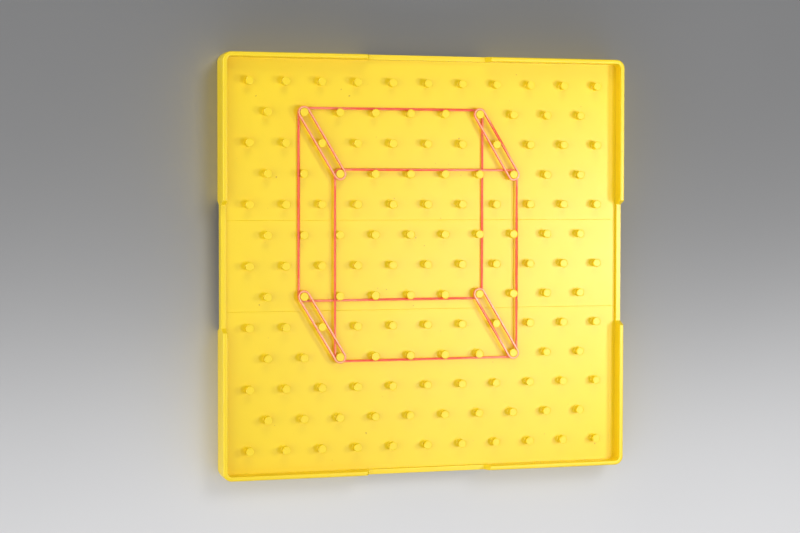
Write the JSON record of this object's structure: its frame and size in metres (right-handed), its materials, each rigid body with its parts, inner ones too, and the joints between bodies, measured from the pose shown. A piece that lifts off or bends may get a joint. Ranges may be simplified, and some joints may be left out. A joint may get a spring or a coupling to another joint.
{
  "type": "geoboard",
  "caption": "Square double-sided peg board with a raised notched rim, a triangular grid of short pegs on the front and rubber bands stretched round the pegs into the outline of a box.",
  "frame": {"origin": "centre of the board's outline, on the plane of the back rim", "axes": "+Z out of the front face, +X to the right and +Y to the top of the figure when the front is seen"},
  "size_m": [0.2308, 0.2308, 0.018],
  "materials": {
    "board_plastic": "satin",
    "band_rubber": "satin"
  },
  "bodies": {
    "board": {"floor_panel": "board_plastic", "rim_left": "board_plastic", "rim_bottom": "board_plastic", "rim_right": "board_plastic", "rim_top": "board_plastic", "corner_top_right": "board_plastic", "corner_top_left": "board_plastic", "corner_bottom_left": "board_plastic", "corner_bottom_right": "board_plastic", "front_peg_row_01": "board_plastic", "front_peg_row_02": "board_plastic", "front_peg_row_03": "board_plastic", "front_peg_row_04": "board_plastic", "front_peg_row_05": "board_plastic", "front_peg_row_06": "board_plastic", "front_peg_row_07": "board_plastic", "front_peg_row_08": "board_plastic", "front_peg_row_09": "board_plastic", "front_peg_row_10": "board_plastic", "front_peg_row_11": "board_plastic", "front_peg_row_12": "board_plastic", "front_peg_row_13": "board_plastic", "back_peg_row_01": "board_plastic", "back_peg_row_02": "board_plastic", "back_peg_row_03": "board_plastic", "back_peg_row_04": "board_plastic", "back_peg_row_05": "board_plastic", "back_peg_row_06": "board_plastic", "back_peg_row_07": "board_plastic", "back_peg_row_08": "board_plastic", "back_peg_row_09": "board_plastic", "back_peg_row_10": "board_plastic", "back_peg_row_11": "board_plastic"},
    "back_square": {"band_back_square": "band_rubber"},
    "front_square": {"band_front_square": "band_rubber"},
    "depth_top_left": {"band_depth_top_left": "band_rubber"},
    "depth_bottom_left": {"band_depth_bottom_left": "band_rubber"},
    "depth_bottom_right": {"band_depth_bottom_right": "band_rubber"},
    "depth_top_right": {"band_depth_top_right": "band_rubber"}
  },
  "joints": [
    {"name": "lift_back_square", "type": "slide", "parent": "board", "child": "back_square", "axis": [0, 0, 1], "range_m": [0, 0.012]},
    {"name": "lift_front_square", "type": "slide", "parent": "back_square", "child": "front_square", "axis": [0, 0, 1], "range_m": [0, 0.012]},
    {"name": "lift_depth_top_left", "type": "slide", "parent": "front_square", "child": "depth_top_left", "axis": [0, 0, 1], "range_m": [0, 0.012]},
    {"name": "lift_depth_bottom_left", "type": "slide", "parent": "front_square", "child": "depth_bottom_left", "axis": [0, 0, 1], "range_m": [0, 0.012]},
    {"name": "lift_depth_bottom_right", "type": "slide", "parent": "front_square", "child": "depth_bottom_right", "axis": [0, 0, 1], "range_m": [0, 0.012]},
    {"name": "lift_depth_top_right", "type": "slide", "parent": "front_square", "child": "depth_top_right", "axis": [0, 0, 1], "range_m": [0, 0.012]}
  ]
}
